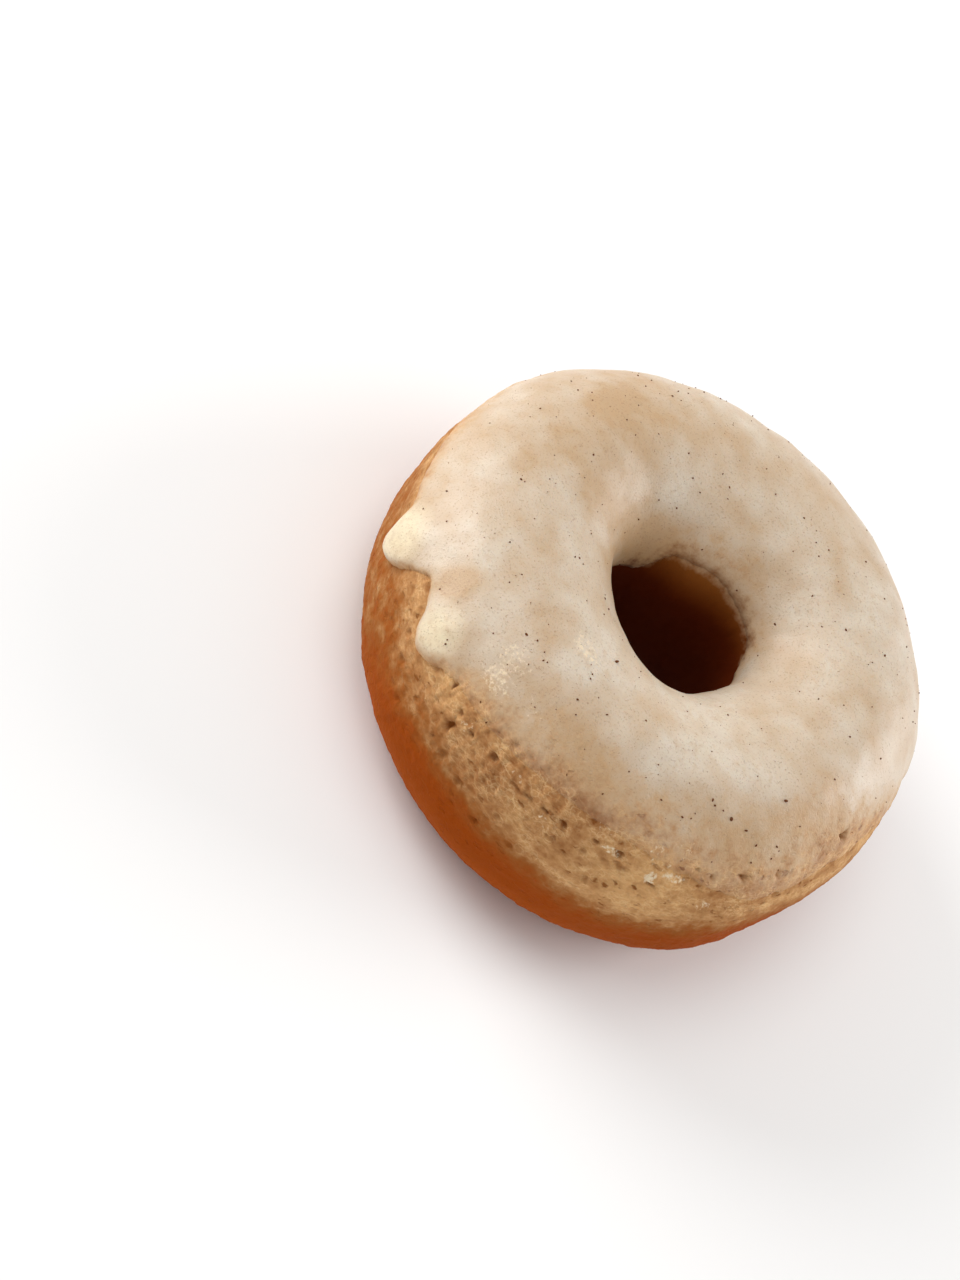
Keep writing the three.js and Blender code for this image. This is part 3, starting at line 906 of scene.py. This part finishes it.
# %% [markdown]
# ## Baked dough
# Baked batter is dry and full of air where it rose freely, so it hardly shines. Against the tin it
# baked smooth, from gold to a reddish brown. A painted line would look stuck on, so two browns are
# laid over the crumb, one inside the other, and noise makes only the line between them uneven.

# %% Baked dough
BROWN_PATCH, UNEVEN_BROWN = 2.4, 4.5
tree = new_material("baked_cinnamon_dough", dough)
position = add(tree, "TexCoord").outputs["Object"]
brown_at, bounce_light_at = (add(tree, "Attribute", attribute_name=name).outputs["Fac"]
                    for name in ("brown", "rim"))
colour, _, bump = glazed_colour(tree, position)
unevenly = add(tree, "TexNoise", {"Vector": position, "Scale": 1 / (BROWN_PATCH * MM),
                                  "Detail": 5.0, "Roughness": NOISE_ROUGH})
unevenly = add(tree, "Math", unevenly, 0.5, operation="SUBTRACT")
not_brown = add(tree, "Math", 1.0, brown_at, operation="SUBTRACT")
at_edge = add(tree, "Math", brown_at, not_brown, operation="MULTIPLY")
unevenly = add(tree, "Math", unevenly, at_edge, operation="MULTIPLY")
browned = add(tree, "Math", unevenly, UNEVEN_BROWN, brown_at, operation="MULTIPLY_ADD")
# The brown includes the painted shadow above the crust, so this gold is partly toasting and partly
# painted shadow.
golden, deep_brown = (
    add(tree, "MapRange", browned, start, full,
        interpolation_type="SMOOTHSTEP")
    for start, full in ((0.0, 0.6), (0.35, 1.0)))
# The rim is painted light: the lowest deep brown turns lighter orange, as the floor's bounce would
# light it.
painted_bounce_light = add(tree, "Math", bounce_light_at, deep_brown, operation="MULTIPLY")
for share, paint in ((golden, CRUST_GOLD), (deep_brown, CRUST_BROWN), (painted_bounce_light, CRUST_BOUNCE_LIGHT)):
    colour = add(tree, "Mix", {0: share, 6: colour, 7: paint}, data_type="RGBA")
surface = add(tree, "BsdfPrincipled", {
    "Base Color": colour, "Roughness": 0.75, "Normal": bump, "Specular IOR Level": 0.06,
    "Subsurface Weight": 0.12, "Subsurface Radius": (1.0, 0.5, 0.25), "Subsurface Scale": 0.8 * MM,
})
add(tree, "OutputMaterial", surface)
print("dough material:", len(tree.nodes), "nodes")

# %% [markdown]
# ## Set icing
# A sugar glaze that was dipped on and left to dry is smooth and a little translucent, with a soft
# satin shine where it is thick. Where the crumb drank it up it is nearly as dull as the crumb, so
# its roughness follows how much it covers instead of being one number.

# %% Cinnamon icing
tree = new_material("set_cinnamon_icing", icing)
position = add(tree, "TexCoord").outputs["Object"]
colour, covered, bump = glazed_colour(tree, position)
roughness = add(tree, "MapRange", covered, 0.0, 1.0, 0.7, 0.42)
surface = add(tree, "BsdfPrincipled", {
    "Base Color": colour, "Roughness": roughness, "Normal": bump, "Specular IOR Level": 0.45,
    "Subsurface Weight": 0.3, "Subsurface Radius": (1.0, 0.6, 0.35), "Subsurface Scale": 1.2 * MM,
})
add(tree, "OutputMaterial", surface)
print("icing material:", len(tree.nodes), "nodes")

# %% [markdown]
# ## Flecks of cinnamon
# Ground cinnamon doesn't dissolve: the finest of it tints the icing, and the coarser flecks show
# as dark specks. They are tiny real solids, scattered over the icing at random and half sunk, so
# each one has its own size and turn.

# %% Scatter the flecks
FLECKS_PER_MM2 = 0.08
FLECK_RADIUS = (0.07, 0.22)
FLECK_BROWN = to_linear("#63391d")
SHOWS_FROM, MOSTLY_SMALL = 0.15, 2.2
FAR_AWAY = 100.0
FACES_OF_FLECK = 20
# The largest flecks of the picture: azimuth, along, and radius in millimetres.
LARGE_FLECKS = [
    (-113.0, 16.0, 0.22), (-96.7, 26.4, 0.34), (-107.7, 17.1, 0.16), (-106, 16.6, 0.14),
    (-97.4, 21.8, 0.17), (-96.4, 20.9, 0.17), (-104.5, 7.6, 0.15), (-101.1, 6.8, 0.18),
    (-86.9, 19.7, 0.17), (-91.5, 20.1, 0.13), (-115.7, 12.3, 0.13), (-83.9, 11.1, 0.14),
    (-30.4, 18.3, 0.34), (-46.5, 16.4, 0.32), (-41.6, 14.9, 0.24), (-38.7, 13.1, 0.20),
    (-38.9, 11.0, 0.20), (-52.7, 17.9, 0.22), (-51.6, 17.3, 0.20), (-64.7, 15.8, 0.16),
    (-69.0, 18.9, 0.14), (-56.4, 15.2, 0.15), (-33.7, 11.2, 0.16),
]

icing_points = points_of(icing)
bpy.ops.object.select_all(action="DESELECT")
large = []
for i, (azimuth, along, radius) in enumerate(LARGE_FLECKS):
    turn = way_round(icing_azimuth, azimuth)
    away = np.hypot(turn * RING_RADIUS, icing_s - along) + FAR_AWAY * ~on_top
    bpy.ops.mesh.primitive_ico_sphere_add(
        subdivisions=1, radius=radius * MM, location=icing_points[int(away.argmin())].tolist(),
        rotation=(i, 2.0 * i, 0.5 * i), scale=(1.3, 0.9, 0.6))
    large.append(bpy.context.object)
for fleck in large:
    fleck.select_set(True)
flecks = large[0]
bpy.context.view_layer.objects.active = flecks
bpy.ops.object.join()
bpy.ops.object.transform_apply(location=True, rotation=True, scale=True)
flecks.name = flecks.data.name = "cinnamon_flecks"
tree, way_in = geometry_tree("scatter_flecks")
icing_node = add(tree, "GeometryNodeObjectInfo", {"Object": icing})
glazed, thickness = (
    add(tree, "GeometryNodeInputNamedAttribute", {"Name": name}, data_type="FLOAT")
    for name in ("glaze", "coat"))
shown = add(tree, "Math", thickness, SHOWS_FROM, operation="GREATER_THAN")
share = add(tree, "Math", glazed, shown, operation="MULTIPLY")
density = add(tree, "Math", share, FLECKS_PER_MM2 / MM ** 2, operation="MULTIPLY")
points = add(tree, "GeometryNodeDistributePointsOnFaces",
             {"Mesh": icing_node.outputs["Geometry"], "Density": density, "Seed": 7})
evenly = add(tree, "FunctionNodeRandomValue", {"Min": 0.0, "Max": 1.0, "Seed": 3},
             data_type="FLOAT").outputs[1]
curved = add(tree, "Math", evenly, MOSTLY_SMALL, operation="POWER")
size = add(tree, "MapRange", curved, 0.0, 1.0, FLECK_RADIUS[0] * MM, FLECK_RADIUS[1] * MM)
stretch, turned = (
    add(tree, "FunctionNodeRandomValue", {0: low, 1: high, "Seed": seed}, data_type="FLOAT_VECTOR")
    for low, high, seed in (((0.6, 0.6, 0.4), (1.3, 1.0, 0.8), 5),
                            ((0, 0, 0), (TURN, TURN, TURN), 9)))
scale = add(tree, "VectorMath", {0: stretch, "Scale": size}, operation="SCALE")
chip = add(tree, "GeometryNodeMeshIcoSphere", {"Radius": 1.0, "Subdivisions": 1})
placed = add(tree, "GeometryNodeInstanceOnPoints",
             {"Points": points, "Instance": chip, "Rotation": turned, "Scale": scale})
real = add(tree, "GeometryNodeRealizeInstances", {"Geometry": placed})
all_flecks = add(tree, "GeometryNodeJoinGeometry")
for group in (way_in, real):
    tree.links.new(group.outputs[0], all_flecks.inputs[0])
add(tree, "NodeGroupOutput", all_flecks)
apply_tree(flecks, tree)
# Ground cinnamon is dry, fibrous bark, so its flecks are dark and hardly shine.
tree = new_material("ground_cinnamon", flecks)
surface = add(tree, "BsdfPrincipled", {"Base Color": FLECK_BROWN, "Roughness": 0.8,
                                       "Specular IOR Level": 0.2})
add(tree, "OutputMaterial", surface)
print("flecks:", len(flecks.data.polygons) // FACES_OF_FLECK)

# %% [markdown]
# ## The studio
# A plain pale floor in a light tent: large soft lights low on both sides, weak ones at the front
# and above, and an even light from everywhere. One strong lamp would be simpler, but its hard
# shadow isn't in the picture. The camera looks down at the angle of the photo, rolled as it was.

# %% Floor, lights and camera
FLOOR_WHITE = (0.9, 0.89, 0.88, 1.0)
LIGHT_DISTANCE, LIGHT_SIZE = 0.9, 0.6
EVEN_WHITE, EVEN_LIGHT = (1.0, 1.0, 1.0, 1.0), 0.47
bpy.ops.object.select_all(action="DESELECT")
bpy.ops.mesh.primitive_plane_add(size=6.0, location=(0, 0, 0))
floor = bpy.context.object
floor.name = floor.data.name = "studio_floor"
# Painted board spreads all the light that it sends back, so no lamp is mirrored in it.
tree = new_material("matte_white_studio_board", floor)
surface = add(tree, "BsdfPrincipled", {"Base Color": FLOOR_WHITE, "Roughness": 0.8})
add(tree, "OutputMaterial", surface)

# The soft lights: name, azimuth and elevation in degrees, and watts.
SOFT_LIGHTS = [("soft_light_left", 180, 22, 6.8), ("soft_light_right", 45, 20, 5.2),
               ("soft_light_front", -58, 12, 1.35), ("soft_light_above", 180, 75, 2.0)]
for name, degrees_round, degrees_up, watts in SOFT_LIGHTS:
    azimuth, elevation = math.radians(degrees_round), math.radians(degrees_up)
    from_there = Vector((math.cos(elevation) * math.cos(azimuth),
                         math.cos(elevation) * math.sin(azimuth), math.sin(elevation)))
    bpy.ops.object.light_add(type="AREA", location=from_there * LIGHT_DISTANCE)
    lamp = bpy.context.object
    lamp.name = lamp.data.name = name
    lamp.data.shape = "DISK"
    lamp.data.size = LIGHT_SIZE
    lamp.data.energy = watts
    lamp.rotation_euler = from_there.to_track_quat("Z", "Y").to_euler()
    lamp.visible_camera = False

world = bpy.data.worlds.new("even_studio_light")
bpy.context.scene.world = world
world.use_nodes = True
world.node_tree.nodes.clear()
background = add(world.node_tree, "Background", EVEN_WHITE, EVEN_LIGHT)
add(world.node_tree, "OutputWorld", background)

# The camera was fitted to the picture: its tilt, its roll, and its place from the hole's axis.
TILT = math.radians(42.53)
ROLL = math.radians(49.52)
EYE = (np.array((-16.26, -274.8, 290.72)) + SHIFT) * MM
camera = bpy.data.objects.new("camera", bpy.data.cameras.new("camera"))
bpy.context.collection.objects.link(camera)
camera.matrix_world = (Matrix.Translation(Vector(EYE)) @ Matrix.Rotation(TILT, 4, "X")
                       @ Matrix.Rotation(ROLL, 4, "Z"))
camera.data.sensor_width = 36
camera.data.lens = 77.9
camera.data.clip_start = 0.01
bpy.context.scene.camera = camera
bpy.context.scene.view_settings.view_transform = "Standard"

# %% [markdown]
# ## The pieces in place of the solids
# The finished pieces take the place of the plain solids, which are hidden, and go on the one
# body. The flecks have no solid of their own, and only lie on the same body.

# %% Put the pieces in place of the plain solids
for piece, node, slot in ((dough, "dough_ring", "dough"), (icing, "icing", "icing")):
    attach(piece, "root")
    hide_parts(node)
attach(flecks, "root")
